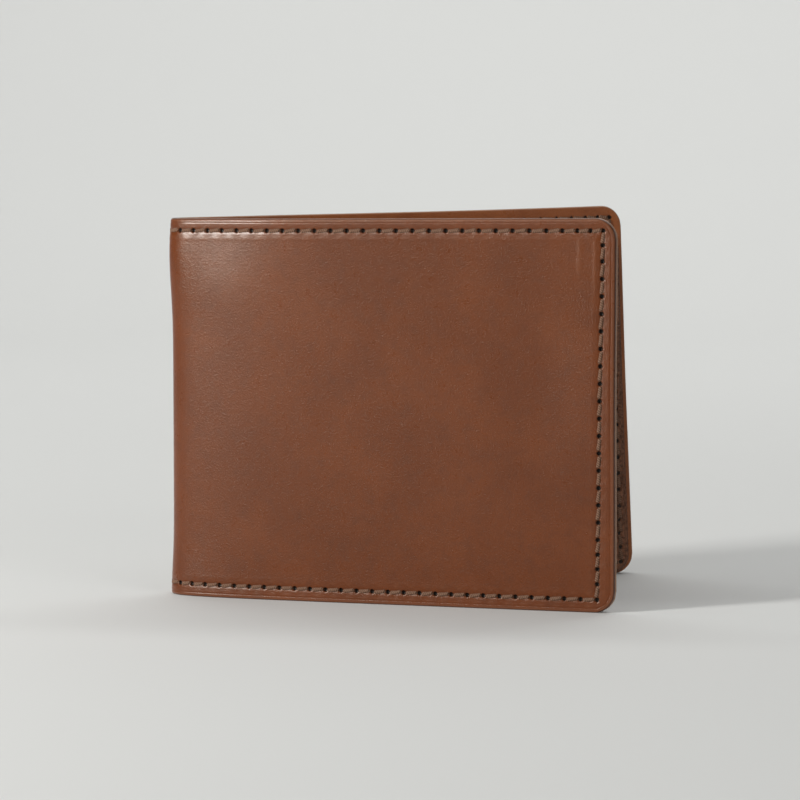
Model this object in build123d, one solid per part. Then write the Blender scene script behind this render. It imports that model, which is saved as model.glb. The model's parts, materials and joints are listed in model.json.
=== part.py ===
from build123d import *

import os
from math import cos, radians, sin

# Leather bifold wallet, standing part open on its long bottom edges.
#
# +Z is up and the table is z = 0. The fold is vertical, at the low X end, and the leaves open
# towards +X: the front leaf on the -Y side, the back leaf, its mirror image, on the +Y side.
# The origin is the centre of the bottom of the wallet's box. All sizes are in millimetres.
#
# The front leaf is laid out in its own flat frame and then placed:
#   s  along the leaf, 0 where its flat part starts, growing towards the opening edge
#   t  through the thickness, 0 on the outer face, growing towards the inside
#   z  up
# The cover is one piece of leather and so is its lining. Both are cut here at the two fold
# lines, because the leaves and the spine move as three rigid bodies.

# Overall sizes
HEIGHT = 90.0
LEAF_LENGTH = 106.0
CORNER_RADIUS = 5.0
HALF_OPENING = 16.3

# The fold: a flat strip with a round bend on each side of it
FOLD_RADIUS = 7.0
SPINE_FLAT = 4.0
FOLD_GAP = 0.9

# Leather thicknesses, and the empty gaps between the layers
COVER = 1.3
LINING = 0.6
BACKING = 0.7
POCKET = 0.7
NOTE_GAP = 0.8
CARD_GAP = 0.45

# Card pockets
STACK_START = 9.0
STACK_CORNER = 3.0
BACKING_TOP = 82.0
POCKETS = {"upper": 72.0, "middle": 61.0, "lower": 50.0}
TEE_POCKETS = ("upper", "middle")
TEE_BAND = 12.0
TEE_INSET = 6.0
TEE_DEPTH = 47.5

# Stitching: a lockstitch, one thread on each face of the leather
SEAM_MARGIN = 2.5
HEM_MARGIN = 1.5
STITCH_PITCH = 4.0
THREAD_WIDTH = 0.8
THREAD_HEIGHT = 0.4
THREAD_DIP = 0.15
LEG_WIDTH = 0.6
HOLE_WIDTH = 0.8
OVERCUT = 1.0
SIDES = ((-1, "outer"), (1, "inner"))

# Layout worked out from the sizes above
BEND = radians(90.0 - HALF_OPENING)
HALF_GAP_ANGLE = FOLD_GAP / 2 / FOLD_RADIUS
SHELL = COVER + LINING
BACKING_FACE = SHELL + NOTE_GAP
BACKING_INSIDE = BACKING_FACE + BACKING
LAYER_STEP = CARD_GAP + POCKET
STACK_INSIDE = BACKING_INSIDE + len(POCKETS) * LAYER_STEP
FLAT_START_X = FOLD_RADIUS * (1 - cos(BEND))
FLAT_START_Y = -SPINE_FLAT / 2 - FOLD_RADIUS * sin(BEND)
LENGTH_X = THREAD_HEIGHT + FLAT_START_X + LEAF_LENGTH * sin(BEND) + STACK_INSIDE * cos(BEND)
SPINE_X = THREAD_HEIGHT - LENGTH_X / 2
HINGE_X = SPINE_X + FOLD_RADIUS * (1 - cos(BEND / 2))
HINGE_Y = SPINE_FLAT / 2 + FOLD_RADIUS * sin(BEND / 2)

# Stitch holes. Those of the bend are angles back from the flat part.
OPEN_SEAM = LEAF_LENGTH - SEAM_MARGIN
FOLD_SEAM = STACK_START + SEAM_MARGIN
TOP_SEAM = HEIGHT - SEAM_MARGIN
FIRST_STITCH = 1.0
LIP_HOLE = (STITCH_PITCH - FIRST_STITCH) / FOLD_RADIUS
SPINE_HOLE = BEND - (STITCH_PITCH - SPINE_FLAT / 2) / FOLD_RADIUS


def spaced(first, last):
    """Even stations between two ends, as near to the stitch pitch as a whole number allows."""
    count = round((last - first) / STITCH_PITCH)
    return [first + (last - first) * i / count for i in range(count + 1)]


ALONG_EDGE = spaced(FIRST_STITCH, OPEN_SEAM)
UP_OPEN_EDGE = spaced(SEAM_MARGIN, TOP_SEAM)
UP_FOLD_SEAM = spaced(SEAM_MARGIN + STITCH_PITCH, BACKING_TOP - SEAM_MARGIN)
ALONG_HEM = spaced(FOLD_SEAM + TEE_INSET, OPEN_SEAM - TEE_INSET)


def block(s0, s1, t0, t1, z0, z1):
    """A box between two corners."""
    box = Box(s1 - s0, t1 - t0, z1 - z0, align=(Align.MIN, Align.MIN, Align.MIN))
    return Location((s0, t0, z0)) * box


def sheet(s0, s1, depth, thickness, z0, z1, corners):
    """A flat sheet with some corners rounded: corners maps (s, z) to a radius."""
    plate = block(s0, s1, depth, depth + thickness, z0, z1)
    for (s, z), radius in corners.items():
        edges = plate.edges().filter_by(Axis.Y)
        plate = fillet(edges.sort_by_distance((s, depth, z))[0], radius)
    return plate


def bend_point(radius, angle):
    """A point on the bend, at an angle back from the flat part."""
    return (-radius * sin(angle), FOLD_RADIUS - radius * cos(angle))


def bend_piece(depth, thickness, first, last, z0, z1):
    """Part of the bend between two angles, from a depth below the outer face inwards."""
    outer = FOLD_RADIUS - depth
    inner = outer - thickness
    middle = (first + last) / 2
    outside = [bend_point(outer, angle) for angle in (first, middle, last)]
    inside = [bend_point(inner, angle) for angle in (last, middle, first)]
    outline = [
        ThreePointArc(*outside),
        Line(outside[2], inside[0]),
        ThreePointArc(*inside),
        Line(inside[2], outside[0]),
    ]
    return Location((0, 0, z0)) * extrude(make_face(outline), z1 - z0, dir=(0, 0, 1))


def place_leaf(shape):
    """Puts a shape from the flat frame where the front leaf stands."""
    return Location((SPINE_X + FLAT_START_X, FLAT_START_Y, 0), (0, 0, -HALF_OPENING)) * shape


def mirror_back(shape):
    """The back leaf's copy of a piece of the front leaf."""
    return mirror(shape, about=Plane.XZ)


def flat_holes(points, depth, thickness):
    """Holes through a layer at (s, z) points."""
    half = HOLE_WIDTH / 2
    t0 = depth - OVERCUT
    t1 = depth + thickness + OVERCUT
    return [block(s - half, s + half, t0, t1, z - half, z + half) for s, z in points]


def bend_hole(depth, thickness, angle, z):
    """A hole through the bend."""
    half = HOLE_WIDTH / 2
    turn = half / FOLD_RADIUS
    deep = thickness + 2 * OVERCUT
    return bend_piece(depth - OVERCUT, deep, angle - turn, angle + turn, z - half, z + half)


EDGE_HOLES = [(s, z) for z in (SEAM_MARGIN, TOP_SEAM) for s in ALONG_EDGE]
EDGE_HOLES += [(OPEN_SEAM, z) for z in UP_OPEN_EDGE[1:-1]]
STACK_HOLES = EDGE_HOLES + [(FOLD_SEAM, z) for z in UP_FOLD_SEAM]


def hem_height(mouth):
    """Height of the hidden hem that closes the bottom of a T pocket."""
    return mouth - TEE_DEPTH + HEM_MARGIN


def leaf_shell(depth, thickness):
    """The leaf's share of the cover or of its lining: the flat part and half of the bend."""
    corners = {(LEAF_LENGTH, 0): CORNER_RADIUS, (LEAF_LENGTH, HEIGHT): CORNER_RADIUS}
    flat = sheet(0, LEAF_LENGTH, depth, thickness, 0, HEIGHT, corners)
    lip = bend_piece(depth, thickness, 0, BEND / 2 - HALF_GAP_ANGLE, 0, HEIGHT)
    holes = flat_holes(EDGE_HOLES, depth, thickness)
    holes += [bend_hole(depth, thickness, LIP_HOLE, z) for z in (SEAM_MARGIN, TOP_SEAM)]
    return place_leaf(flat + lip - holes)


def spine_shell(depth, thickness):
    """The spine's share of the cover or of its lining: a flat strip between two half bends."""
    strip = block(SPINE_X + depth, SPINE_X + depth + thickness, -SPINE_FLAT / 2, SPINE_FLAT / 2, 0, HEIGHT)
    half = place_leaf(bend_piece(depth, thickness, BEND / 2 + HALF_GAP_ANGLE, BEND, 0, HEIGHT))
    shell = strip + half + mirror_back(half)
    for z in (SEAM_MARGIN, TOP_SEAM):
        hole = place_leaf(bend_hole(depth, thickness, SPINE_HOLE, z))
        reach = HOLE_WIDTH / 2
        centre = block(SPINE_X - OVERCUT, SPINE_X + SHELL + OVERCUT, -reach, reach, z - reach, z + reach)
        shell = shell - [hole, mirror_back(hole), centre]
    return shell


def backing():
    """The wall between the note compartment and the card pockets."""
    corners = {(STACK_START, 0): STACK_CORNER, (STACK_START, BACKING_TOP): STACK_CORNER}
    corners[(LEAF_LENGTH, 0)] = CORNER_RADIUS
    plate = sheet(STACK_START, LEAF_LENGTH, BACKING_FACE, BACKING, 0, BACKING_TOP, corners)
    hems = [(s, hem_height(POCKETS[name])) for name in TEE_POCKETS for s in ALONG_HEM]
    return place_leaf(plate - flat_holes(STACK_HOLES + hems, BACKING_FACE, BACKING))


def pocket_depth(index):
    """Depth of the face of a pocket that the cards lie against."""
    return BACKING_INSIDE + index * LAYER_STEP + CARD_GAP


def tee_pocket(index, mouth):
    """A T-shaped pocket: a full-length band at its mouth and a shorter foot below it."""
    depth = pocket_depth(index)
    band = block(STACK_START, LEAF_LENGTH, depth, depth + POCKET, mouth - TEE_BAND, mouth)
    foot_end = LEAF_LENGTH - TEE_INSET
    foot_low, foot_high = mouth - TEE_DEPTH, mouth - TEE_BAND
    foot = block(STACK_START + TEE_INSET, foot_end, depth, depth + POCKET, foot_low, foot_high)
    hem = [(s, hem_height(mouth)) for s in ALONG_HEM]
    return place_leaf(band + foot - flat_holes(STACK_HOLES + hem, depth, POCKET))


def front_pocket(index, mouth):
    """The lowest pocket, over the feet of the others, sewn into the bottom seam."""
    depth = pocket_depth(index)
    corners = {(STACK_START, 0): STACK_CORNER, (LEAF_LENGTH, 0): CORNER_RADIUS}
    plate = sheet(STACK_START, LEAF_LENGTH, depth, POCKET, 0, mouth, corners)
    return place_leaf(plate - flat_holes(STACK_HOLES, depth, POCKET))


def inside_level(s, z):
    """Depth of the innermost face of the leaf at a point."""
    if s < STACK_START or z > BACKING_TOP:
        return SHELL
    return BACKING_INSIDE + LAYER_STEP * sum(1 for mouth in POCKETS.values() if z <= mouth)


def thread_bar(start, end, face, side):
    """A straight bar of thread on a face, between two holes at (s, z) points."""
    (s0, z0), (s1, z1) = start, end
    half = THREAD_WIDTH / 2
    leg = LEG_WIDTH / 2
    t0, t1 = sorted((face, face + side * THREAD_HEIGHT))
    if abs(z1 - z0) < abs(s1 - s0):
        return block(s0 + leg, s1 - leg, t0, t1, z0 - half, z0 + half)
    return block(s0 - half, s0 + half, t0, t1, z0 + leg, z1 - leg)


def thread_leg(point, face, lock, side):
    """The leg of a thread in its hole, from just proud of a face down to the lock depth."""
    s, z = point
    half = LEG_WIDTH / 2
    t0, t1 = sorted((lock, face + side * THREAD_DIP))
    return block(s - half, s + half, t0, t1, z - half, z + half)


def thread_row(points, level, lock, side):
    """One thread along a row of holes at (s, z) points. level gives the depth of the leather's
    face at a point, lock is the depth where the two threads of the seam meet, and side is -1
    for the thread on the outer face and 1 for the one on the inner face."""
    pieces = []
    for start, end in zip(points, points[1:]):
        middle = ((start[0] + end[0]) / 2, (start[1] + end[1]) / 2)
        face = max(level(*point) for point in (start, middle, end))
        pieces.append(thread_bar(start, end, face, side))
        pieces += [thread_leg(point, face, lock, side) for point in (start, end)]
    return pieces


def bend_bar(first, last, z, side):
    """A bit of thread on the face of the bend between two angles."""
    half = THREAD_WIDTH / 2
    depth = -THREAD_HEIGHT if side < 0 else SHELL
    return bend_piece(depth, THREAD_HEIGHT, first, last, z - half, z + half)


def bend_leg(angle, z, side):
    """The leg of a thread in a hole of the bend."""
    half = LEG_WIDTH / 2
    turn = half / FOLD_RADIUS
    face = 0 if side < 0 else SHELL
    t0, t1 = sorted((SHELL / 2, face + side * THREAD_DIP))
    return bend_piece(t0, t1 - t0, angle - turn, angle + turn, z - half, z + half)


def joined(pieces):
    """One solid from pieces that touch or overlap."""
    return pieces[0].fuse(*pieces[1:])


def outside_level(s, z):
    """Depth of the outer face."""
    return 0.0


def behind_level(s, z):
    """Depth of the face of the backing inside the note compartment."""
    return BACKING_FACE


def edge_thread(side):
    """The leaf's edge seam on one face: along the bottom, up the opening edge, along the top."""
    level = outside_level if side < 0 else inside_level
    half = THREAD_WIDTH / 2
    leg = LEG_WIDTH / 2
    t0, t1 = sorted((level(0, 0), level(0, 0) + side * THREAD_HEIGHT))
    pieces = thread_row([(OPEN_SEAM, z) for z in UP_OPEN_EDGE], level, SHELL / 2, side)
    for z in (SEAM_MARGIN, TOP_SEAM):
        pieces += thread_row([(s, z) for s in ALONG_EDGE], level, SHELL / 2, side)
        pieces.append(block(0, FIRST_STITCH - leg, t0, t1, z - half, z + half))
        pieces.append(bend_bar(0, LIP_HOLE - leg / FOLD_RADIUS, z, side))
        pieces.append(bend_leg(LIP_HOLE, z, side))
    return [place_leaf(joined(pieces))]


def spine_thread(side):
    """The stitches round the spine on one face, at the bottom and at the top."""
    half = THREAD_WIDTH / 2
    leg = LEG_WIDTH / 2
    face = SPINE_X if side < 0 else SPINE_X + SHELL
    x0, x1 = sorted((face, face + side * THREAD_HEIGHT))
    leg_x0, leg_x1 = sorted((SPINE_X + SHELL / 2, face + side * THREAD_DIP))
    rows = []
    for z in (SEAM_MARGIN, TOP_SEAM):
        bar = block(x0, x1, -SPINE_FLAT / 2, -leg, z - half, z + half)
        bend = bend_bar(SPINE_HOLE + leg / FOLD_RADIUS, BEND, z, side)
        pieces = [block(leg_x0, leg_x1, -leg, leg, z - leg, z + leg)]
        for piece in (bar, place_leaf(bend), place_leaf(bend_leg(SPINE_HOLE, z, side))):
            pieces += [piece, mirror_back(piece)]
        rows.append(joined(pieces))
    return rows


def pocket_seam_thread(side):
    """The seam beside the fold that sews the pockets to their backing."""
    level = behind_level if side < 0 else inside_level
    lock = BACKING_FACE + BACKING / 2
    return [place_leaf(joined(thread_row([(FOLD_SEAM, z) for z in UP_FOLD_SEAM], level, lock, side)))]


def hem_thread(side):
    """The hidden hems that close the T pockets, each sewn before the next pocket goes over it."""
    lock = BACKING_FACE + BACKING / 2
    rows = []
    for index, name in enumerate(TEE_POCKETS):
        def front_level(s, z):
            return pocket_depth(index) + POCKET

        level = behind_level if side < 0 else front_level
        points = [(s, hem_height(POCKETS[name])) for s in ALONG_HEM]
        rows.append(place_leaf(joined(thread_row(points, level, lock, side))))
    return rows


def front_leaf_pieces():
    """Every piece of the front leaf, by name. Values are lists of solids."""
    pieces = {
        "cover": [leaf_shell(0, COVER)],
        "lining": [leaf_shell(COVER, LINING)],
        "pocket_backing": [backing()],
    }
    for index, (name, mouth) in enumerate(POCKETS.items()):
        make = tee_pocket if name in TEE_POCKETS else front_pocket
        pieces[name + "_card_pocket"] = [make(index, mouth)]
    for side, face in SIDES:
        pieces["edge_thread_" + face] = edge_thread(side)
        pieces["pocket_seam_thread_" + face] = pocket_seam_thread(side)
        pieces["hem_thread_" + face] = hem_thread(side)
    return pieces


def write(name, solids):
    """Writes one node."""
    shape = solids[0] if len(solids) == 1 else Compound(children=solids)
    export_step(shape, os.path.join("parts", name + ".step"))
    print(name, len(shape.solids()), round(shape.volume, 2))


os.makedirs("parts", exist_ok=True)
for name, solids in front_leaf_pieces().items():
    write("front_" + name, solids)
    write("back_" + name, [mirror_back(solid) for solid in solids])
write("spine_cover", [spine_shell(0, COVER)])
write("spine_lining", [spine_shell(COVER, LINING)])
for side, face in SIDES:
    write("spine_thread_" + face, spine_thread(side))
print("hinge axis at", round(HINGE_X, 3), round(HINGE_Y, 3), "spine at", round(SPINE_X, 3))
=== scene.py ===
import json
from math import cos, pi, radians, sin

import bpy
import numpy as np
from mathutils import Matrix, Vector


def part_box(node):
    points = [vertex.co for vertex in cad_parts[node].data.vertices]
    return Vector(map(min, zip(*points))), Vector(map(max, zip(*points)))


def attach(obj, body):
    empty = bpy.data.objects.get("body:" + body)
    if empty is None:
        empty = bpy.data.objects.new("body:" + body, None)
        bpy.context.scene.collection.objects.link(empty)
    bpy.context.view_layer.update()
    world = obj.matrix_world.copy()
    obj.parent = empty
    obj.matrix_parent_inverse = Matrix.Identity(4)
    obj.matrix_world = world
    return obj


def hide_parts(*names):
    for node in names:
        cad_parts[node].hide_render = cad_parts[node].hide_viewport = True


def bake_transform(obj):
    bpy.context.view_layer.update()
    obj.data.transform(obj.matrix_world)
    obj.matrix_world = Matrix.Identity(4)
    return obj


# The looks of the leather bifold wallet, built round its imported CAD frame.
#
# Lengths are in millimetres, and become metres where a mesh is made. A leaf is described by
#   arc    distance along the outer face from the middle of the spine, growing to the opening edge
#   depth  distance below the outer face, towards the inside
#   z      height
# and place() bends that flat pattern round the fold. Side 1 is the front leaf, -1 the back leaf.

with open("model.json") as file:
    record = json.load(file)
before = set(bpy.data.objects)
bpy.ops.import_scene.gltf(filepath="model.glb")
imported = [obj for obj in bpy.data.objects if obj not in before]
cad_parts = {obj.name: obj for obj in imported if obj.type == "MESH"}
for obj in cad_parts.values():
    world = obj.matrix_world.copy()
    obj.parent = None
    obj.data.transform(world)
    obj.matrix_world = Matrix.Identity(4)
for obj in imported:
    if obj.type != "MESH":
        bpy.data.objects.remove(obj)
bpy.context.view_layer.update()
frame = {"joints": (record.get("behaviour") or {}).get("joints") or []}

MM = 0.001
FRONT = 1
BACK = -1
SIDES = {FRONT: "front", BACK: "back"}


def node_box(node):
    """A CAD node's lowest and highest corners, in millimetres."""
    low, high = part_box(node)
    return np.array(low) / MM, np.array(high) / MM


# Sizes from the frame
cover_low, cover_high = node_box("front_cover")
front_fold = next(joint for joint in frame["joints"] if joint["name"] == "front_fold")
HALF_OPENING = -radians(front_fold["range_deg"][0])
HEIGHT = cover_high[2]
SPINE_X = node_box("spine_cover")[0][0]
BACKING_TOP = node_box("front_pocket_backing")[1][2]
POCKETS = {name: node_box("front_" + name + "_card_pocket")[1][2] for name in ("upper", "middle", "lower")}
TEE_FEET = {name: node_box("front_" + name + "_card_pocket")[0][2] for name in ("upper", "middle")}

# Leather thicknesses
COVER = 1.3
LINING = 0.6
BACKING = 0.7
POCKET = 0.7
SHELL = COVER + LINING

# Pattern of a leaf: its length beyond the fold, its corners, where the pocket stack starts, the
# bands of the T pockets, the margins of the pocket seam and the hems, and the pitch of the stitches
LEAF = 106.0
CORNER = 5.0
STACK_START = 9.0
TEE_BAND = 12.0
TEE_INSET = 6.0
MARGIN = 2.5
HEM_MARGIN = 1.5
PITCH = 4.03

# How far each inner layer stops short of the opening edge
TRIM = {"backing": 1.0, "upper": 1.2, "middle": 1.4, "lower": 1.7}

# Empty space between the layers: everywhere, and away from the seams
LAYER_GAP = 0.02
NOTE_GAP = 0.9
CARD_GAP = 0.16
CARD_BULGE = 0.25


# ---------------------------------------------------------------- the fold

# Step of the traced face, half the flat width of the spine, and the lengths over which the quick
# and the slow part of the turn fade
STEP = 0.05
SPINE_FLAT = 0.3
QUICK_FADE = 2.1
SLOW_FADE = 10.0
ARC = np.arange(0, 130, STEP)


def smooth(value, low, high):
    """0 below low, 1 above high and a smooth step between them."""
    t = np.clip((value - low) / (high - low), 0, 1)
    return t * t * (3 - 2 * t)


def bell(value, centre, width):
    """1 at the centre, dying away over the width."""
    return np.exp(-((value - centre) / width) ** 2)


def heading_at(arc, slow_turn):
    """Heading of the outer face: square to X at the spine, fading to the line of the leaf. Part of
    the turn is quick, at the corner of the spine, and slow_turn is spread over the leaf beside it."""
    beyond = np.clip(arc - SPINE_FLAT, 0, None)
    quick_turn = pi / 2 - HALF_OPENING - slow_turn
    return HALF_OPENING + quick_turn * np.exp(-beyond / QUICK_FADE) + slow_turn * np.exp(-beyond / SLOW_FADE)


def trace(slow_turn):
    """The outer face seen from above, as x and y at each arc."""
    heading = heading_at(ARC[:-1] + STEP / 2, slow_turn)
    x = SPINE_X + np.concatenate([[0], np.cumsum(np.cos(heading)) * STEP])
    y = -np.concatenate([[0], np.cumsum(np.sin(heading)) * STEP])
    return x, y


# The outer corner of the opening edge, which the line of the leaf goes through
EDGE_X = cover_high[0] - COVER * sin(HALF_OPENING)
EDGE_Y = cover_low[1]


def off_leaf(slow_turn):
    """How far inside the leaf's line the traced face ends up."""
    x, y = trace(slow_turn)
    return (x[-1] - EDGE_X) * sin(HALF_OPENING) + (y[-1] - EDGE_Y) * cos(HALF_OPENING)


# The slow part of the turn is found by halving, so that the face ends on the leaf's line
low_turn, high_turn = 0.0, pi / 2 - HALF_OPENING
for _ in range(30):
    SLOW_TURN = (low_turn + high_turn) / 2
    if off_leaf(SLOW_TURN) > 0:
        low_turn = SLOW_TURN
    else:
        high_turn = SLOW_TURN
TRACE_X, TRACE_Y = trace(SLOW_TURN)
ALONG = (TRACE_X - EDGE_X) * cos(HALF_OPENING) - (TRACE_Y - EDGE_Y) * sin(HALF_OPENING)
END = float(np.interp(0, ALONG, ARC))
FLAT_START = END - LEAF
STACK_ARC = FLAT_START + STACK_START
FOLD_SEAM_ARC = STACK_ARC + MARGIN

# The wallet stands a little askew: everything leans towards the opening edge, and the back leaf
# reaches further at its foot than at its head, where it also rises
LEAN = 1.3
BACK_REACH = 0.7
BACK_LEAN = 3.6
BACK_RISE = 0.7


def swell(arc, z):
    """How far the soft leather stands out of the leaf's plane near the spine: everywhere along the
    fold, most near the top, and over a wider stretch at the foot. The top edge is tucked in."""
    beyond = np.clip(np.abs(arc) - SPINE_FLAT, 0, None)
    fold = bell(beyond, 0, 9) * (0.6 + 0.95 * bell(z, 83, 12))
    foot = 0.6 * bell(beyond, 0, 18) * bell(z, 0, 10)
    tuck = 0.9 * bell(beyond, 13, 12) * smooth(z, 70, 92)
    return fold + foot - tuck


def wave(arc, z, side):
    """Slow unevenness of the leather, and its rise towards the seam of the opening edge."""
    shift = 0.0 if side == FRONT else 2.1
    slow = np.sin(arc / 17 + shift) * np.cos(z / 23 + 1.3 * shift) + 0.6 * np.sin(arc / 9.5 + z / 14 + shift)
    rise = 0.5 * smooth(arc, 96, 112) * bell(z, 47, 21)
    return 0.07 * slow * smooth(arc, 6, 30) - rise


def place(arc, depth, z, side):
    """Points in space, in metres, of points of the flat pattern."""
    arc, depth, z = np.broadcast_arrays(*(np.asarray(value, float) for value in (arc, depth, z)))
    reach = np.abs(arc)
    half = np.where(arc < 0, -side, side)
    depth = depth - swell(reach, z) + wave(reach, z, side)
    heading = heading_at(reach, SLOW_TURN)
    x = np.interp(reach, ARC, TRACE_X) + depth * np.sin(heading)
    y = np.interp(reach, ARC, TRACE_Y) + depth * np.cos(heading)
    up = z / HEIGHT
    far = np.where(half == BACK, (reach / END) ** 2, 0)
    x = x + LEAN * up + far * (BACK_REACH - BACK_LEAN * up)
    height = z + BACK_RISE * far * up * (reach / END)
    return np.stack([x, y * half, height], -1) * MM


# ---------------------------------------------------------------- seams


# The lines of the edge seam, how far it runs away from the opening edge towards its foot, the room
# that the pocket layers leave for that, and how far its nearest hole is from the spine's middle
TOP_Z = HEIGHT - 2.8
FOOT_Z = 3.0
SEAM_ARC = END - 3.0
SEAM_SLANT = {FRONT: 1.15, BACK: 0.3}
SLANT_ROOM = 1.2
SPINE_HOLE = 0.6

# How far from a seam its marks reach, and how far from it the layers are held together
SEAM_REACH = 4.0
SEAM_GRIP = 0.8


def seam_shift(arc, z, side):
    """How far the leather's grid is moved towards the fold to follow the slanting edge seam."""
    near = smooth(END - arc, 0, END - SEAM_ARC - 0.8) * (1 - smooth(END - arc, 5, 16))
    return SEAM_SLANT[side] * fallen(z) * near


def run(start, stop, count, first=(), last=()):
    """Stations from start to stop, in even steps but for the first and last few, given as parts
    of a whole step."""
    sizes = np.ones(count)
    sizes[: len(first)] = first
    sizes[count - len(last) :] = last
    ends = np.concatenate([[0], np.cumsum(sizes)])
    return start + (stop - start) * ends / ends[-1]


def first_hole(side):
    """Arc of the hole nearest the spine's middle, which is off centre."""
    return SPINE_HOLE if side == FRONT else PITCH - SPINE_HOLE


def top_arcs(side):
    """Arcs of the holes along the top, from the spine to the opening edge."""
    steps = round((SEAM_ARC - first_hole(side)) / PITCH)
    return run(first_hole(side), SEAM_ARC, steps, (1, 0.9, 0.93, 0.97), (0.95, 0.88, 0.77, 0.73))


def foot_arcs(side):
    """Arcs of the holes along the bottom, as many as along the top."""
    steps = round((SEAM_ARC - first_hole(side)) / PITCH)
    return run(first_hole(side), SEAM_ARC - SEAM_SLANT[side], steps, (1, 0.9, 0.92))


def fallen(z):
    """0 at the top row of holes, growing to 1 at the bottom row."""
    return np.clip((TOP_Z - z) / (TOP_Z - FOOT_Z), 0, 1)


def edge_seam(side):
    """Holes of a leaf's edge seam, as (arc, z) rows: from the spine along the top, down the
    opening edge and back along the bottom."""
    heights = run(TOP_Z, FOOT_Z, 22, (0.83, 0.92), (0.86, 0.83, 0.87, 0.9))
    top = [(arc, TOP_Z) for arc in top_arcs(side)]
    down = [(SEAM_ARC - SEAM_SLANT[side] * fallen(z), z) for z in heights[1:-1]]
    bottom = [(arc, FOOT_Z) for arc in foot_arcs(side)[::-1]]
    return np.array(top + down + bottom)


def with_crossing(side):
    """A leaf's edge seam with the stitches that cross the spine's middle, at both its ends."""
    beyond = -first_hole(-side)
    return np.concatenate([[(beyond, TOP_Z)], EDGE_SEAMS[side], [(beyond, FOOT_Z)]])


EDGE_SEAMS = {side: edge_seam(side) for side in SIDES}
FOLD_SEAM = np.array([(FOLD_SEAM_ARC, z) for z in run(BACKING_TOP - MARGIN, MARGIN + PITCH, 18)])


def to_holes(arc, z, holes):
    """Distance from each point to the nearest hole."""
    best = np.full(arc.shape, 1e3)
    for hole_arc, hole_z in holes:
        best = np.minimum(best, np.hypot(arc - hole_arc, z - hole_z))
    return best


def to_line(arc, z, holes):
    """Distance from each point to the line of the seam."""
    best = np.full(arc.shape, 1e3)
    for start, stop in zip(holes, holes[1:]):
        way = stop - start
        along = np.clip(((arc - start[0]) * way[0] + (z - start[1]) * way[1]) / (way @ way), 0, 1)
        best = np.minimum(best, np.hypot(arc - start[0] - along * way[0], z - start[1] - along * way[1]))
    return best


def seam_marks(arc, z, holes, hole_depth):
    """What a seam does to the leather: how far it presses it in, how much painted shade each point
    gets inside a hole, and how much painted highlight the ridge beside the seam gets."""
    arc, z = np.broadcast_arrays(arc, z)
    pressed = np.zeros(arc.shape)
    hole_shade = np.zeros(arc.shape)
    painted_highlight = np.zeros(arc.shape)
    # Only points near the seam are measured, and those well inside a seam that goes round are not
    low = holes.min(0) - SEAM_REACH
    high = holes.max(0) + SEAM_REACH
    inner_low = holes.min(0) + SEAM_REACH
    inner_high = holes.max(0) - SEAM_REACH - max(SEAM_SLANT.values())
    close = (arc > low[0]) & (arc < high[0]) & (z > low[1]) & (z < high[1])
    if np.ptp(holes[:, 0]) > SEAM_REACH:
        close &= ~((arc < inner_high[0]) & (z > inner_low[1]) & (z < inner_high[1]))
    to_seam = to_line(arc[close], z[close], holes)
    to_hole = to_holes(arc[close], z[close], holes)
    pucker = 0.25 + 0.75 * smooth(to_hole, 0.9, 2.1)
    bed = 0.13 * bell(to_seam, 0, 0.55)
    valley = 0.09 * bell(to_seam, 0, 1.2) * pucker
    lip = 0.02 * bell(to_seam, 1.9, 0.5)
    shaft = hole_depth * (1 - smooth(to_hole, 0.34, 0.60))
    pressed[close] = bed + valley - lip + shaft
    # Painted shade inside each hole
    hole_shade[close] = 1 - smooth(to_hole, 0.40, 0.62)
    # Painted highlight along the ridge beside the seam
    painted_highlight[close] = bell(to_seam, 1.5, 0.35) * smooth(to_hole, 1.6, 2.5)
    return pressed, hole_shade, painted_highlight


# ---------------------------------------------------------------- sheets of leather

# Share of a sheet's thickness that is left square at its cut edge
CUT_SHARE = 0.3


def around(stations, offsets):
    """Grid lines at some offsets to each side of every station."""
    return [station + sign * offset for station in stations for offset in offsets for sign in (-1, 1)]


def grid_lines(low, high, wanted, coarse, closest):
    """Sorted grid lines from low to high: the wanted ones, and more so that no gap is over coarse."""
    lines = [low]
    for line in sorted(value for value in wanted if low + closest < value < high - closest) + [high]:
        if line - lines[-1] < closest:
            continue
        count = int(np.ceil((line - lines[-1]) / coarse))
        start = lines[-1]
        lines += [start + (line - start) * (i + 1) / count for i in range(count)]
    return np.array(lines)


# Distances of grid lines from an edge, in a corner, from a hole and from a seam
EDGE_RINGS = (0.05, 0.14, 0.28, 0.45, 0.62, 0.76, 0.88, 1.0, 1.14, 1.3)
CORNER_RINGS = (1.65, 2.05, 2.5, 3.1, 3.7, 4.35, 5.0)
HOLE_RINGS = (0.0, 0.24, 0.45, 0.95)
FINE_HOLE_RINGS = (0.0, 0.13, 0.26, 0.38, 0.52, 0.85, 1.4)
SEAM_RINGS = (0.0, 0.15, 0.3, 0.45, 0.6, 0.8, 1.05, 1.3, 1.55, 1.8, 2.05, 2.35, 2.8, 3.4)


def rounded(arc, z, low, high, fold_radius, open_radius):
    """Squeezes a rectangular grid so that it keeps inside rounded corners, on the columns."""
    bottom = np.full(arc.shape, low[1])
    top = np.full(arc.shape, high[1])
    for edge, radius, sign in ((high[0], open_radius, -1), (low[0], fold_radius, 1)):
        if radius[0] > 0:
            inside = np.clip(radius[0] - sign * (arc - edge), 0, radius[0])
            bottom += radius[0] - np.sqrt(radius[0] ** 2 - inside**2)
        if radius[1] > 0:
            inside = np.clip(radius[1] - sign * (arc - edge), 0, radius[1])
            top -= radius[1] - np.sqrt(radius[1] ** 2 - inside**2)
    band = 8.0
    squeeze = (z - low[1] - band) / (high[1] - low[1] - 2 * band)
    middle = bottom + band + squeeze * (top - bottom - 2 * band)
    below = bottom + z - low[1]
    above = top - (high[1] - z)
    return np.where(z < low[1] + band, below, np.where(z > high[1] - band, above, middle))


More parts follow.
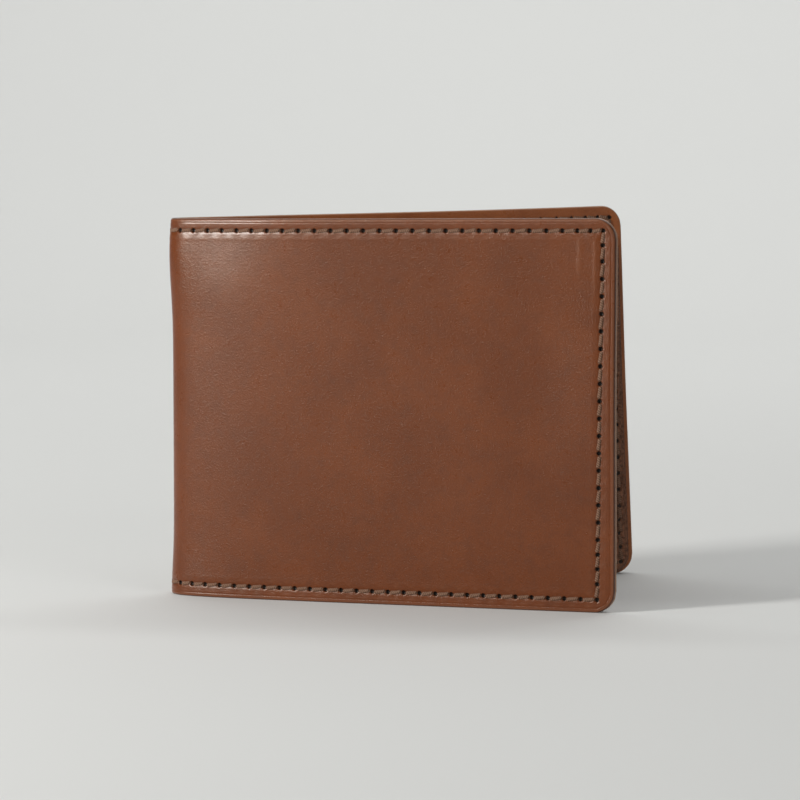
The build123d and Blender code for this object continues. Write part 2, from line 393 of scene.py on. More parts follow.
def edge_distance(arc, z, low, high, fold_radius, open_radius, open_fold=False):
    """Distance from the outline of a rounded sheet, inwards. open_fold leaves out the fold end."""
    far = 1e3
    from_fold = np.full(arc.shape, far) if open_fold else arc - low[0]
    from_open = high[0] - arc
    distance = np.minimum(np.minimum(from_fold, from_open), np.minimum(z - low[1], high[1] - z))
    corners = (
        (from_open, z - low[1], open_radius[0]),
        (from_open, high[1] - z, open_radius[1]),
        (from_fold, z - low[1], fold_radius[0]),
        (from_fold, high[1] - z, fold_radius[1]),
    )
    for across, up, radius in corners:
        inside = (across < radius) & (up < radius)
        round_distance = radius - np.hypot(radius - across, radius - up)
        distance = np.where(inside, round_distance, distance)
    return np.clip(distance, 0, None)


def add_mesh(name, points, faces, layers, material):
    """A smooth mesh object with named float layers on its points."""
    mesh = bpy.data.meshes.new(name)
    mesh.from_pydata(points.tolist(), [], faces.tolist() if isinstance(faces, np.ndarray) else faces)
    for layer, values in layers.items():
        kind, field = ("FLOAT_VECTOR", "vector") if values.ndim == 2 else ("FLOAT", "value")
        attribute = mesh.attributes.new(layer, kind, "POINT")
        attribute.data.foreach_set(field, values.astype(np.float32).ravel())
    mesh.shade_smooth()
    mesh.set_sharp_from_angle(angle=radians(55))
    mesh.materials.append(material)
    obj = bpy.data.objects.new(name, mesh)
    bpy.context.scene.collection.objects.link(obj)
    return obj


def slab(name, side, arc, z, outer, inner, edge, mask, material, layers, roll):
    """A closed sheet of leather on a grid of (arc, z). outer and inner are the depths of its two
    faces, edge the distance from its outline, which is rounded over the length of the roll, and mask
    says which cells of the grid it fills."""
    keep = np.clip(1 - edge / roll, 0, 1)
    full = CUT_SHARE + (1 - CUT_SHARE) * np.sqrt(1 - keep**2)
    centre = (outer + inner) / 2
    top = centre + (outer - centre) * full
    bottom = centre + (inner - centre) * full
    columns, rows = arc.shape
    total = columns * rows
    number = np.arange(total).reshape(columns, rows)
    points = np.concatenate([place(arc, depth, z, side).reshape(-1, 3) for depth in (top, bottom)])
    a, b, c, d = number[:-1, :-1], number[1:, :-1], number[1:, 1:], number[:-1, 1:]
    cells = np.stack([a, b, c, d], -1)[mask]
    faces = [cells, cells[:, ::-1] + total]
    solid = np.zeros((columns + 1, rows + 1), bool)
    solid[1:-1, 1:-1] = mask
    walls = (
        (solid[1:-1, :-2], a, b),
        (solid[2:, 1:-1], b, c),
        (solid[1:-1, 2:], c, d),
        (solid[:-2, 1:-1], d, a),
    )
    for neighbour, first, second in walls:
        bare = mask & ~neighbour
        low, high = first[bare], second[bare]
        faces.append(np.stack([high, low, low + total, high + total], -1))
    faces = np.concatenate(faces)
    if side == BACK:
        faces = faces[:, ::-1]
    used = np.unique(faces)
    renumber = np.zeros(2 * total, int)
    renumber[used] = np.arange(len(used))
    pattern = np.stack([np.where(side == BACK, -arc, arc), z, np.zeros_like(arc)], -1).reshape(-1, 3)
    both = {"pattern": np.concatenate([pattern, pattern + (0, 0, 50)])}
    both["rim"] = np.concatenate([edge.ravel(), edge.ravel()])
    for layer, values in layers.items():
        both[layer] = np.concatenate([values.ravel(), values.ravel()])
    both = {layer: values[used] for layer, values in both.items()}
    return add_mesh(name, points[used], renumber[faces], both, material)


# ---------------------------------------------------------------- materials


class Shader:
    """A material's node tree, with short ways to add and join its nodes."""

    def __init__(self, name):
        self.material = bpy.data.materials.new(name)
        self.material.use_nodes = True
        self.tree = self.material.node_tree
        self.surface = self.tree.nodes["Principled BSDF"]

    def node(self, kind, inputs=(), **settings):
        """A new node of a kind, with its settings and its inputs."""
        node = self.tree.nodes.new("ShaderNode" + kind)
        for key, value in settings.items():
            setattr(node, key, value)
        for key, value in dict(inputs).items():
            self.put(node.inputs[key], value)
        return node

    def put(self, socket, value):
        """Joins an output to a socket, or sets the socket to a plain value."""
        if isinstance(value, bpy.types.NodeSocket):
            self.tree.links.new(value, socket)
        else:
            socket.default_value = value

    def layer(self, name):
        """The node that reads one of the mesh's named layers."""
        return self.node("Attribute", attribute_name=name)

    def maths(self, operation, first, second):
        return self.node("Math", {0: first, 1: second}, operation=operation).outputs[0]

    def noise(self, coordinates, scale, detail=3.0, roughness=0.5, distortion=0.0):
        inputs = {"Vector": coordinates, "Scale": scale, "Detail": detail, "Roughness": roughness}
        inputs["Distortion"] = distortion
        return self.node("TexNoise", inputs).outputs["Fac"]

    def cells(self, coordinates, scale, feature="F1"):
        """Distance to the nearest of many scattered points."""
        inputs = {"Vector": coordinates, "Scale": scale}
        return self.node("TexVoronoi", inputs, feature=feature).outputs["Distance"]

    def between(self, value, low, high, to_low=0.0, to_high=1.0):
        """A smooth step from to_low to to_high, while the value goes from low to high."""
        inputs = {"Value": value, "From Min": low, "From Max": high, "To Min": to_low, "To Max": to_high}
        return self.node("MapRange", inputs, interpolation_type="SMOOTHSTEP").outputs["Result"]

    def mix(self, amount, first, second):
        """A colour between two others, all first at an amount of 0."""
        node = self.node("Mix", data_type="RGBA")
        self.put(node.inputs[0], amount)
        self.put(node.inputs[6], first)
        self.put(node.inputs[7], second)
        return node.outputs[2]

    def bump(self, height, distance, strength=1.0):
        inputs = {"Height": height, "Distance": distance, "Strength": strength}
        return self.node("Bump", inputs).outputs["Normal"]


def colour(red, green, blue):
    return (red, green, blue, 1.0)


# Painted highlight on the ridges and rim of the smooth leather, painted shade inside its holes, and
# the darker tone of the smooth cover in its mottling and at its cut edge
PAINTED_RIDGE_HIGHLIGHT = colour(0.40, 0.20, 0.12)
PAINTED_HOLE_SHADE = colour(0.008, 0.004, 0.003)
DEEP_COVER = colour(0.066, 0.015, 0.0027)


def smooth_leather(name, light, middle, deep, cut_edge, grain=1.0):
    """Polished full-grain leather: mottled colour, fine grain, a cut edge of its own colour, a painted
    highlight on its ridges and painted shade in its holes.
    """
    shader = Shader(name)
    pattern = shader.layer("pattern").outputs["Vector"]
    rim = shader.layer("rim").outputs["Fac"]
    hole_shade = shader.layer("hole_shade").outputs["Fac"]
    painted_highlight = shader.layer("painted_highlight").outputs["Fac"]
    cloud = shader.noise(pattern, 0.045, 4.0, 0.55, 0.4)
    mottle = shader.noise(pattern, 0.32, 5.0, 0.62, 0.3)
    speck = shader.noise(pattern, 2.6, 3.0, 0.6)
    tone = shader.mix(shader.between(cloud, 0.32, 0.68), middle, light)
    tone = shader.mix(shader.between(mottle, 0.42, 0.75, 0.0, 0.32), tone, deep)
    tone = shader.mix(shader.between(speck, 0.35, 0.68, 0.0, 0.3), tone, deep)
    tone = shader.mix(shader.between(rim, 0.0, 0.35, 0.85, 0.0), tone, cut_edge)
    # Painted highlight: paler lines on the ridges beside the seams, on the rim and on the pocket ends
    tone = shader.mix(shader.maths("MULTIPLY", painted_highlight, 0.28), tone, PAINTED_RIDGE_HIGHLIGHT)
    # Painted shade inside the stitch holes
    tone = shader.mix(shader.between(hole_shade, 0.1, 0.8), tone, PAINTED_HOLE_SHADE)
    shader.put(shader.surface.inputs["Base Color"], tone)
    shine = shader.between(mottle, 0.3, 0.7, 0.27, 0.34)
    shine = shader.maths("ADD", shine, shader.between(hole_shade, 0, 1, 0, 0.4))
    shader.put(shader.surface.inputs["Roughness"], shine)
    shader.surface.inputs["Specular IOR Level"].default_value = 0.34
    shader.surface.inputs["Specular Tint"].default_value = colour(1.0, 0.89, 0.76)
    shader.surface.inputs["Coat Weight"].default_value = 0.2
    shader.surface.inputs["Coat Roughness"].default_value = 0.2
    pores = shader.cells(pattern, 3.0)
    crumple = shader.noise(pattern, 2.3, 5.0, 0.7)
    fibre = shader.noise(pattern, 6.0, 2.0, 0.5)
    height = shader.maths("MULTIPLY", pores, 0.4)
    height = shader.maths("ADD", height, shader.maths("MULTIPLY", crumple, 0.9))
    height = shader.maths("ADD", height, shader.maths("MULTIPLY", fibre, 0.28))
    shader.put(shader.surface.inputs["Normal"], shader.bump(height, 0.000062 * grain))
    return shader


def pebbled_leather(name, light, deep):
    """Dark inner leather with a pebbled grain and painted shade in its creases."""
    shader = Shader(name)
    pattern = shader.layer("pattern").outputs["Vector"]
    rim = shader.layer("rim").outputs["Fac"]
    hole_shade = shader.layer("hole_shade").outputs["Fac"]
    pebble = shader.cells(pattern, 1.05, "SMOOTH_F1")
    crumple = shader.noise(pattern, 1.3, 4.0, 0.6, 0.6)
    small = shader.cells(pattern, 3.1, "SMOOTH_F1")
    cloud = shader.noise(pattern, 0.12, 3.0)
    tone = shader.mix(shader.between(cloud, 0.3, 0.7), deep, light)
    # Painted shade in the creases of the grain, where the crumple noise and the bump are low
    tone = shader.mix(shader.between(crumple, 0.35, 0.58, 0.65, 0.0), tone, colour(0.014, 0.006, 0.003))
    tone = shader.mix(shader.between(rim, 0.15, 0.75, 0.75, 0.0), tone, colour(0.085, 0.026, 0.010))
    # Painted shade inside the stitch holes
    tone = shader.mix(shader.between(hole_shade, 0.1, 0.8), tone, colour(0.004, 0.002, 0.002))
    shader.put(shader.surface.inputs["Base Color"], tone)
    shader.put(shader.surface.inputs["Roughness"], shader.between(crumple, 0.3, 0.6, 0.6, 0.36))
    shader.surface.inputs["Specular IOR Level"].default_value = 0.6
    shader.surface.inputs["Specular Tint"].default_value = colour(1.0, 0.85, 0.72)
    height = shader.maths("MULTIPLY", pebble, -1.0)
    height = shader.maths("ADD", height, shader.maths("MULTIPLY", small, -0.3))
    height = shader.maths("ADD", height, shader.maths("MULTIPLY", crumple, 1.6))
    shader.put(shader.surface.inputs["Normal"], shader.bump(height, 0.00032))
    return shader


def waxed_thread(name):
    """Flat waxed thread, twisted from fine strands. "strand" runs round and along each stitch."""
    shader = Shader(name)
    strand = shader.layer("strand").outputs["Vector"]
    inputs = {"Vector": strand, "Scale": 0.5, "Distortion": 0.6, "Detail": 2.0}
    bands = shader.node("TexWave", inputs, bands_direction="DIAGONAL").outputs["Fac"]
    fuzz = shader.noise(strand, 5.0, 3.0)
    # Painted shade: the dark bands lie in the grooves between the twisted strands
    tone = shader.mix(bands, colour(0.048, 0.021, 0.012), colour(0.240, 0.128, 0.080))
    tone = shader.mix(shader.between(fuzz, 0.35, 0.7, 0.0, 0.4), tone, colour(0.31, 0.185, 0.125))
    # Painted shade where the ends of a stitch go into their holes
    hole_shade = shader.layer("hole_shade").outputs["Fac"]
    tone = shader.mix(hole_shade, tone, colour(0.01, 0.006, 0.004))
    shader.put(shader.surface.inputs["Base Color"], tone)
    shader.surface.inputs["Roughness"].default_value = 0.6
    shader.surface.inputs["Specular IOR Level"].default_value = 0.3
    shader.surface.inputs["Specular Tint"].default_value = colour(1.0, 0.82, 0.68)
    height = shader.maths("ADD", bands, shader.maths("MULTIPLY", fuzz, 0.4))
    shader.put(shader.surface.inputs["Normal"], shader.bump(height, 0.00008, 0.9))
    return shader


COVER_SHADER = smooth_leather(
    "cover_leather",
    colour(0.156, 0.037, 0.0070),
    colour(0.128, 0.029, 0.0050),
    DEEP_COVER,
    cut_edge=DEEP_COVER,
)
LINING_SHADER = smooth_leather(
    "lining_leather",
    colour(0.330, 0.100, 0.028),
    colour(0.260, 0.072, 0.019),
    colour(0.150, 0.038, 0.009),
    cut_edge=colour(0.42, 0.26, 0.17),
    grain=1.4,
)
POCKET_SHADER = pebbled_leather("pocket_leather", colour(0.30, 0.12, 0.060), colour(0.18, 0.066, 0.030))
THREAD_SHADER = waxed_thread("waxed_thread")


# ---------------------------------------------------------------- the leather


def blend_fold(piece):
    """Bakes a piece that crosses a fold into its mesh as placed; it is not bent between the spine and its
    leaf.
    """
    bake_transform(piece)


def settle(arc, z, side):
    """Moves a shell's grid so that its columns run from each hole of the top row to its fellow in
    the bottom row."""
    top = np.concatenate([[0], top_arcs(side), [END]])
    foot = np.concatenate([[0], foot_arcs(side), [END]])
    return arc + (np.interp(arc, top, foot) - arc) * fallen(z)


def shell_surface(side, fine):
    """The grid of a shell layer, close together beside the holes, and its edge distance."""
    rings = FINE_HOLE_RINGS if fine else HOLE_RINGS
    across = SEAM_RINGS if fine else SEAM_RINGS[::3]
    columns = around(top_arcs(side), rings) + around([SEAM_ARC], across)
    columns += [END - ring for ring in EDGE_RINGS + CORNER_RINGS]
    columns += list(np.arange(0.8, 16.0, 0.8))
    rows = around(EDGE_SEAMS[side][:, 1], rings) + around([TOP_Z, FOOT_Z], across)
    for ring in EDGE_RINGS + CORNER_RINGS:
        rows += [ring, HEIGHT - ring]
    coarse = 1.3 if fine else 2.6
    columns = grid_lines(0.0, END, columns, coarse, closest=0.07)
    rows = grid_lines(0.0, HEIGHT, rows, coarse, closest=0.07)
    arc, z = np.meshgrid(columns, rows, indexing="ij")
    low, high = (0.0, 0.0), (END, HEIGHT)
    square, round_corner = (0.0, 0.0), (CORNER, CORNER)
    arc = settle(arc, z, side)
    z = rounded(arc, z, low, high, square, round_corner)
    edge = edge_distance(arc, z, low, high, square, round_corner, open_fold=True)
    return arc, z, edge


def every_cell(arc):
    """The mask of a sheet that fills its whole grid."""
    return np.ones((arc.shape[0] - 1, arc.shape[1] - 1), bool)


def crease_line(edge):
    """The line creased just inside the edge of the cover."""
    return 0.06 * bell(edge, 0.95, 0.13)


def pocket_ridges(arc, z):
    """Where the ends of the pockets inside press through near the opening edge."""
    first = bell(arc, SEAM_ARC - 5.8, 0.4) * smooth(z, 75.5, 79) * (1 - smooth(z, 84.5, 86))
    second = bell(arc, SEAM_ARC - 1.95, 0.35) * smooth(z, 68, 78) * (1 - smooth(z, 84.5, 86))
    return first + 0.8 * second


def make_cover(side):
    """The outer cover's half: a leaf and half of the spine."""
    arc, z, edge = shell_surface(side, fine=True)
    pressed, hole_shade, painted_highlight = seam_marks(arc, z, with_crossing(side), hole_depth=0.55)
    outer = pressed + crease_line(edge)
    # Painted highlight along the ridge beside the seam, and a stronger one just inside the rounded rim
    painted_highlight = 0.3 * painted_highlight + 0.8 * bell(edge, 0.42, 0.2)
    if side == FRONT:
        outer = outer - 0.03 * pocket_ridges(arc, z)
        # Painted highlight on the ends of the pockets that press through
        painted_highlight = painted_highlight + 0.4 * pocket_ridges(arc, z)
    mask = every_cell(arc)
    name = SIDES[side]
    piece = slab(
        name + "_cover_leather", side, arc, z, outer, np.full(arc.shape, COVER - LAYER_GAP), edge, mask,
        COVER_SHADER.material, {"hole_shade": hole_shade, "painted_highlight": painted_highlight}, roll=0.75,
    )
    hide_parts(name + "_cover", "spine_cover")
    blend_fold(piece)
    return piece


def make_lining(side):
    """The lining of the note compartment, glued to the cover."""
    arc, z, edge = shell_surface(side, fine=False)
    pressed, hole_shade, painted_highlight = seam_marks(arc, z, with_crossing(side), hole_depth=0.35)
    bare = smooth(z, BACKING_TOP - 1, BACKING_TOP + 1)
    inner = SHELL - pressed * bare
    mask = every_cell(arc)
    name = SIDES[side]
    # The lining gets painted shade in its holes, and a painted highlight beside its seams above the backing
    piece = slab(
        name + "_lining_leather", side, arc, z, np.full(arc.shape, COVER), inner, edge, mask,
        LINING_SHADER.material, {"hole_shade": hole_shade, "painted_highlight": 0.4 * painted_highlight * bare}, roll=0.35,
    )
    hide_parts(name + "_lining", "spine_lining")
    blend_fold(piece)
    return piece


# The layers of the pockets, one over the other. Depths grow towards the inside.


def from_sides(arc, z):
    """How far the pocket layers are free of the seams: 0 at the bottom and opening seams, 1 inside."""
    return smooth(SEAM_ARC - SLANT_ROOM - arc, SEAM_GRIP, 13) * smooth(z, FOOT_Z + SEAM_GRIP, 16)


def backing_face(arc, z):
    """Depth of the backing's face inside the note compartment."""
    fold_end = 0.35 + 0.65 * smooth(arc - STACK_ARC, 0, 20)
    open_mouth = 1 + 0.35 * smooth(z, 50, BACKING_TOP)
    return SHELL + LAYER_GAP + NOTE_GAP * from_sides(arc, z) * fold_end * open_mouth


def in_box(arc, z, low, high):
    """Signed distance to a box of the pattern, negative inside."""
    across = np.maximum(low[0] - arc, arc - high[0])
    up = np.maximum(low[1] - z, z - high[1])
    return np.maximum(across, up)


def pocket_shape(name, arc, z):
    """Signed distance to a pocket's leather, negative inside."""
    mouth = POCKETS[name]
    if name == "lower":
        return in_box(arc, z, (STACK_ARC, 0), (END - TRIM[name], mouth))
    band = in_box(arc, z, (STACK_ARC, mouth - TEE_BAND), (END - TRIM[name], mouth))
    foot = in_box(arc, z, (STACK_ARC + TEE_INSET, TEE_FEET[name]), (END - TEE_INSET, mouth - TEE_BAND + 0.5))
    return np.minimum(band, foot)


def pocket_face(name, arc, z):
    """Depth of a pocket's outer face, over the backing and whatever pockets lie under it."""
    depth = backing_face(arc, z) + BACKING
    from_edge = smooth(SEAM_ARC - SLANT_ROOM - arc, SEAM_GRIP, 9)
    from_fold = smooth(arc - FOLD_SEAM_ARC, SEAM_GRIP, 9)
    slack = from_edge * from_fold * smooth(z, FOOT_Z + 0.5, 9)
    for below, mouth in POCKETS.items():
        if below == name:
            return depth + LAYER_GAP + slack * (CARD_GAP + CARD_BULGE * bell(z, mouth, 9))
        present = 1 - smooth(pocket_shape(below, arc, z), 0.1, 1.9)
        depth = depth + present * (POCKET + LAYER_GAP) + slack * CARD_GAP * present
    return depth


def inside_face(arc, z):
    """Depth of the innermost face of a leaf."""
    arc, z = np.broadcast_arrays(np.asarray(arc, float), np.asarray(z, float))
    depth = np.full(arc.shape, SHELL)
    on_backing = (arc >= STACK_ARC) & (z <= BACKING_TOP)
    depth = np.where(on_backing, backing_face(arc, z) + BACKING, depth)
    for name in POCKETS:
        covered = pocket_shape(name, arc, z) <= 0
        depth = np.where(covered, pocket_face(name, arc, z) + POCKET, depth)
    return depth


def stack_surface(side, layer, low_z, high_z, extra_columns=(), extra_rows=()):
    """The grid of a layer of the pocket stack, before seam_shift moves it and its corners are
    rounded. Its columns are placed so that the move brings them to the holes of the bottom row."""
    end = END - TRIM[layer]
    master = np.arange(0, END, 0.1)
    at_foot = master - seam_shift(master, FOOT_Z, side)
    columns = around(np.interp(foot_arcs(side), at_foot, master), HOLE_RINGS)
    columns += around([FOLD_SEAM_ARC], HOLE_RINGS + (1.6,)) + around([SEAM_ARC], SEAM_RINGS[::2])
    rows = around(EDGE_SEAMS[side][:, 1], HOLE_RINGS) + around(FOLD_SEAM[:, 1], HOLE_RINGS[:3])
    for ring in EDGE_RINGS[1::2] + CORNER_RINGS:
        columns += [end - ring, STACK_ARC + ring]
        rows += [low_z + ring, high_z - ring]
    columns = grid_lines(STACK_ARC, end, columns + list(extra_columns), coarse=2.2, closest=0.12)
    rows = grid_lines(low_z, high_z, rows + list(extra_rows), coarse=2.2, closest=0.12)
    return np.meshgrid(columns, rows, indexing="ij")


def stack_marks(arc, z, side):
    """Marks of the edge seam and of the seam beside the fold on a pocket layer: how far they press it
    in, and the painted shade in their holes.
    """
    pressed, hole_shade, _ = seam_marks(arc, z, EDGE_SEAMS[side], hole_depth=0.3)
    fold_pressed, fold_hole_shade, _ = seam_marks(arc, z, FOLD_SEAM, hole_depth=0.3)
    return np.maximum(pressed, fold_pressed), np.maximum(hole_shade, fold_hole_shade)


def mouth_crease(below_mouth):
    """The line creased a little below the mouth of a pocket layer."""
    return 0.10 * bell(below_mouth, 1.6, 0.25)


def clear_of(z, cover_top):
    """0 where the next layer covers the leather up to cover_top, 1 above that."""
    return smooth(z, cover_top - 0.5, cover_top + 1)


def make_backing(side):
    """The wall between the note compartment and the card pockets."""
    arc, z = stack_surface(side, "backing", 0.0, BACKING_TOP)
    low, high = (STACK_ARC, 0.0), (END - TRIM["backing"], BACKING_TOP)
    fold_radius, open_radius = (3.0, 3.0), (CORNER, 2.5)
    arc = arc - seam_shift(arc, z, side)
    z = rounded(arc, z, low, high, fold_radius, open_radius)
    edge = edge_distance(arc, z, low, high, fold_radius, open_radius)
    pressed, hole_shade = stack_marks(arc, z, side)
    outer = backing_face(arc, z)
    bare = clear_of(z, POCKETS["upper"])
    inner = outer + BACKING - (pressed + mouth_crease(BACKING_TOP - z)) * bare
    mask = every_cell(arc)
    name = SIDES[side]
    piece = slab(
        name + "_pocket_backing_leather", side, arc, z, outer, inner, edge, mask,
        POCKET_SHADER.material, {"hole_shade": hole_shade * bare}, roll=0.45,
    )
    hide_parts(name + "_pocket_backing")
    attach(piece, name + "_leaf")
    return piece


def make_pocket(side, pocket):
    """A card pocket. The T pockets are a band with a narrower foot that the next pocket hides."""
    mouth = POCKETS[pocket]
    foot = TEE_FEET.get(pocket, 0.0)
    steps = (STACK_ARC + TEE_INSET, END - TEE_INSET)
    shoulders = [mouth - TEE_BAND] if pocket in TEE_FEET else []
    arc, z = stack_surface(side, pocket, foot, mouth, steps, shoulders)
    low, high = (STACK_ARC, foot), (END - TRIM[pocket], mouth)
    flat_arc = arc
    arc = arc - seam_shift(arc, z, side)
    fold_radius, open_radius = (0.0, 0.0), (0.0, 0.0)
    if pocket == "lower":
        fold_radius, open_radius = (3.0, 0.0), (CORNER, 0.0)
        z = rounded(arc, z, low, high, fold_radius, open_radius)
    edge = edge_distance(arc, z, low, high, fold_radius, open_radius)
    middle_arc = (flat_arc[1:, 1:] + flat_arc[:-1, :-1]) / 2
    middle_z = (z[1:, 1:] + z[:-1, :-1]) / 2
    mask = pocket_shape(pocket, middle_arc, middle_z) < 0
    pressed, hole_shade = stack_marks(arc, z, side)
    names = list(POCKETS)
    below = names.index(pocket) + 1
    hidden_under = POCKETS[names[below]] if below < len(names) else -1.0
    bare = clear_of(z, hidden_under)
    outer = pocket_face(pocket, arc, z)
    inner = outer + POCKET - (pressed + mouth_crease(mouth - z)) * bare
    name = SIDES[side]
    piece = slab(
        name + "_" + pocket + "_card_pocket_leather", side, arc, z, outer, inner, edge, mask,
        POCKET_SHADER.material, {"hole_shade": hole_shade * bare}, roll=0.4,
    )
    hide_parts(name + "_" + pocket + "_card_pocket")
    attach(piece, name + "_leaf")
    return piece


# ---------------------------------------------------------------- stitches

# Points round a thread and along a stitch, the thread's size, how far it is lifted out of its groove,
# the share of a stitch inside the hole at each end, and how far its ends slant to either side
ROUND = 12
LENGTHWISE = 14
THREAD_HALF_WIDTH = 0.44
THREAD_HALF_HEIGHT = 0.24
THREAD_LIFT = 0.05
HOLE_SHARE = 0.085
SLANT = 0.2

# How deep the threads lie in the leather's faces
OUTER_GROOVE = 0.14
INNER_GROOVE = 0.10
HEM_GROOVE = 0.15
BACK_GROOVE = 0.04


def stitch_row(name, side, holes, face, out, dive=0.7, width=THREAD_HALF_WIDTH):
    """A thread along a seam, one flattened twisted stitch from each hole to the next. face gives
    the depth of the leather, out is -1 on the outer face and 1 on the inner one, dive is how deep the
    ends go into their holes, and width is half the thread's width."""
    points, faces, strands, hole_shades = [], [], [], []
    u = np.linspace(0, 1, LENGTHWISE)
    ease = np.abs(2 * u - 1)
    turn = np.arange(ROUND) * 2 * pi / ROUND
    for index, (start, stop) in enumerate(zip(holes, holes[1:])):
        way = np.array(stop) - np.array(start)
        length = np.hypot(*way)
        across = np.array([-way[1], way[0]]) / length
        upright = abs(way[1]) > abs(way[0])
        lean = SLANT * (1 + 0.25 * sin(index * 2.3)) * out * (1 if upright else -1)
        along = HOLE_SHARE + (1 - 2 * HOLE_SHARE) * u
        centre = np.array(start) + np.outer(along, way) + np.outer((2 * u - 1) * lean, across)
        surface = face(centre[:, 0], centre[:, 1])
        sink = dive * smooth(ease, 0.74, 1.0)
        height = THREAD_LIFT - sink + 0.03 * sin(index * 1.7)
        thin = 1 - 0.3 * smooth(ease, 0.7, 1.0)
        ridge = 1 + 0.07 * np.cos(2 * turn[None, :] + 9.0 * u[:, None] * length / 4)
        wide = width * thin[:, None] * ridge * np.cos(turn)[None, :]
        tall = THREAD_HALF_HEIGHT * thin[:, None] * ridge * np.sin(turn)[None, :]
        arc = centre[:, 0, None] + across[0] * wide
        z = centre[:, 1, None] + across[1] * wide
        depth = surface[:, None] + out * (height[:, None] + tall)
        base = index * ROUND * LENGTHWISE
        points.append(place(arc, depth, z, side).reshape(-1, 3))
        strand = np.empty(arc.shape + (3,))
        strand[..., 0] = u[:, None] * length * 2
        strand[..., 1] = turn[None, :] * 0.5
        strand[..., 2] = index * 3.7
        strands.append(strand.reshape(-1, 3))
        # Painted shade on the stitch ends that dive into the holes
        hole_shades.append(np.repeat(0.85 * smooth(ease, 0.86, 1.0), ROUND))
        for i in range(LENGTHWISE - 1):
            for j in range(ROUND):
                k = (j + 1) % ROUND
                near_ring = base + i * ROUND
                far_ring = near_ring + ROUND
                faces.append((near_ring + j, near_ring + k, far_ring + k, far_ring + j))
        last = base + (LENGTHWISE - 1) * ROUND
        faces.append(tuple(base + j for j in reversed(range(ROUND))))
        faces.append(tuple(last + j for j in range(ROUND)))
    handed = side * out
    if handed > 0:
        faces = [tuple(reversed(face_points)) for face_points in faces]
    layers = {"strand": np.concatenate(strands), "hole_shade": np.concatenate(hole_shades)}
    return add_mesh(name, np.concatenate(points), faces, layers, THREAD_SHADER.material)


def outer_face(arc, z):
    """Depth that the outer thread lies at, in its groove."""
    return np.full(np.shape(arc), OUTER_GROOVE)


def inner_thread_face(arc, z):
    """Depth that the inner thread lies at: the highest leather close by, less its groove."""
    steps = [(step_arc, step_z) for step_arc in (-0.5, 0, 0.5) for step_z in (-0.7, 0, 0.7)]
    near = [inside_face(arc + step_arc, z + step_z) for step_arc, step_z in steps]
    return np.max(near, axis=0) - INNER_GROOVE


def back_face(arc, z):
    """Depth of the backing's face in the note compartment, where the pocket seam shows."""
    return backing_face(arc, z) + BACK_GROOVE


def make_threads(side):
    """All the threads of one leaf."""
    name = SIDES[side]
    leaf = name + "_leaf"
    # The stitches that cross the middle of the spine belong to the front leaf's thread
    holes = with_crossing(side) if side == FRONT else EDGE_SEAMS[side]
    outer = stitch_row(name + "_edge_stitches_outer", side, holes, outer_face, -1)
    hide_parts(name + "_edge_thread_outer", "spine_thread_outer")
    inner = stitch_row(name + "_edge_stitches_inner", side, holes, inner_thread_face, 1, width=0.48)
    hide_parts(name + "_edge_thread_inner", "spine_thread_inner")
    for piece in (outer, inner):
        blend_fold(piece)
    seam_in = stitch_row(name + "_pocket_seam_stitches_inner", side, FOLD_SEAM, inner_thread_face, 1)
    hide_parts(name + "_pocket_seam_thread_inner")
    seam_out = stitch_row(
        name + "_pocket_seam_stitches_outer", side, FOLD_SEAM, back_face, -1, dive=0.3, width=0.36,
    )
    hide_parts(name + "_pocket_seam_thread_outer")
    pieces = [outer, inner, seam_in, seam_out]
    hem_arcs = run(FOLD_SEAM_ARC + TEE_INSET, SEAM_ARC - TEE_INSET, 20)
    for pocket, foot in TEE_FEET.items():
        holes = np.array([(arc, foot + HEM_MARGIN) for arc in hem_arcs])
        front = stitch_row(
            name + "_" + pocket + "_hem_stitches_inner", side, holes,
            lambda arc, z, pocket=pocket: pocket_face(pocket, arc, z) + POCKET - HEM_GROOVE, 1, width=0.3,
        )
        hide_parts(name + "_hem_thread_inner")
        rear = stitch_row(
            name + "_" + pocket + "_hem_stitches_outer", side, holes, back_face, -1, dive=0.3, width=0.36,
        )
        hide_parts(name + "_hem_thread_outer")
        pieces += [front, rear]
    for piece in pieces[2:]:
        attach(piece, leaf)
    return pieces


for side in SIDES:
    make_cover(side)
    make_lining(side)
    make_backing(side)
    for pocket in POCKETS:
        make_pocket(side, pocket)
    make_threads(side)


# ---------------------------------------------------------------- floor, light and camera


def plain_floor():
    """A pale sheet that runs back and curves up behind the wallet. A strip before the bend keeps
    the shading of the flat part flat."""
    front_y, bend_y, radius, top = -700.0, 950.0, 600.0, 2000.0
    strip = 60.0
    profile = [(front_y, 0.0), (bend_y - strip, 0.0)]
    profile += [(bend_y + radius * sin(t), radius * (1 - cos(t))) for t in np.linspace(0, pi / 2, 24)]
    profile += [(bend_y + radius, top)]
    half_width = 2200.0
    points = [(x * MM, y * MM, z * MM) for y, z in profile for x in (-half_width, half_width)]
    faces = [(2 * i, 2 * i + 1, 2 * i + 3, 2 * i + 2) for i in range(len(profile) - 1)]
    shader = Shader("pale_floor")
    shader.surface.inputs["Base Color"].default_value = colour(0.68, 0.685, 0.67)
    shader.surface.inputs["Roughness"].default_value = 0.9
    shader.surface.inputs["Specular IOR Level"].default_value = 0.2
    floor = add_mesh("pale_floor", np.array(points), faces, {}, shader.material)


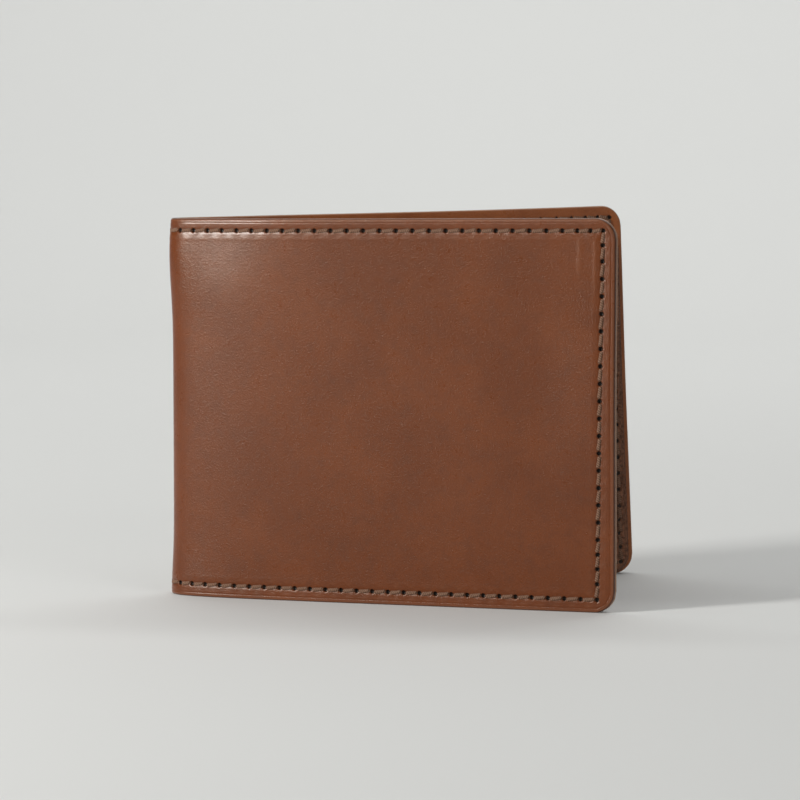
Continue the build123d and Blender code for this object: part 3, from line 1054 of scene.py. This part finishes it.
def add_light(name, place_mm, aim_mm, size, power, tint):
    """A soft rectangular light aimed at a point."""
    data = bpy.data.lights.new(name, "AREA")
    data.shape = "RECTANGLE"
    data.size, data.size_y = size[0] * MM, size[1] * MM
    data.energy = power
    data.color = tint
    light = bpy.data.objects.new(name, data)
    light.location = Vector(place_mm) * MM
    way = Vector(aim_mm) * MM - light.location
    light.rotation_euler = way.to_track_quat("-Z", "Y").to_euler()
    bpy.context.scene.collection.objects.link(light)


def add_world():
    """A faint pale light from all round."""
    world = bpy.data.worlds.new("pale_world")
    world.use_nodes = True
    background = world.node_tree.nodes["Background"]
    background.inputs["Color"].default_value = colour(0.95, 0.97, 1.0)
    background.inputs["Strength"].default_value = 0.06
    bpy.context.scene.world = world


def add_camera():
    """A long lens a little above the wallet and to the right, almost level."""
    yaw, pitch, roll = radians(5.9), radians(4.54), radians(0.84)
    location = Vector((95.3, -918.4, 119.4)) * MM
    forward = Vector((-sin(yaw) * cos(pitch), cos(yaw) * cos(pitch), -sin(pitch)))
    right = Vector((cos(yaw), sin(yaw), 0))
    up = right.cross(forward)
    tilted_right = right * cos(roll) - up * sin(roll)
    tilted_up = up * cos(roll) + right * sin(roll)
    turn = Matrix((tilted_right, tilted_up, -forward)).transposed()
    data = bpy.data.cameras.new("camera")
    data.sensor_width = 36.0
    data.lens = 175.1
    data.clip_start = 0.01
    camera = bpy.data.objects.new("camera", data)
    camera.matrix_world = Matrix.Translation(location) @ turn.to_4x4()
    bpy.context.scene.collection.objects.link(camera)
    bpy.context.scene.camera = camera


plain_floor()
add_light("window", (-765, -497, 350), (0, 0, 45), (175, 225), 8.4, (1.0, 0.99, 0.97))
add_light("ceiling", (0, 0, 1500), (0, 0, 0), (2000, 2000), 9.6, (1.0, 1.0, 0.99))
add_light("fill", (800, -900, 450), (0, 0, 45), (500, 500), 2.0, (1.0, 1.0, 1.0))
add_light("backdrop", (0, 700, 1300), (0, 1350, 250), (1800, 300), 12.0, (1.0, 1.0, 1.0))
add_world()
bpy.context.scene.view_settings.view_transform = "Standard"
add_camera()
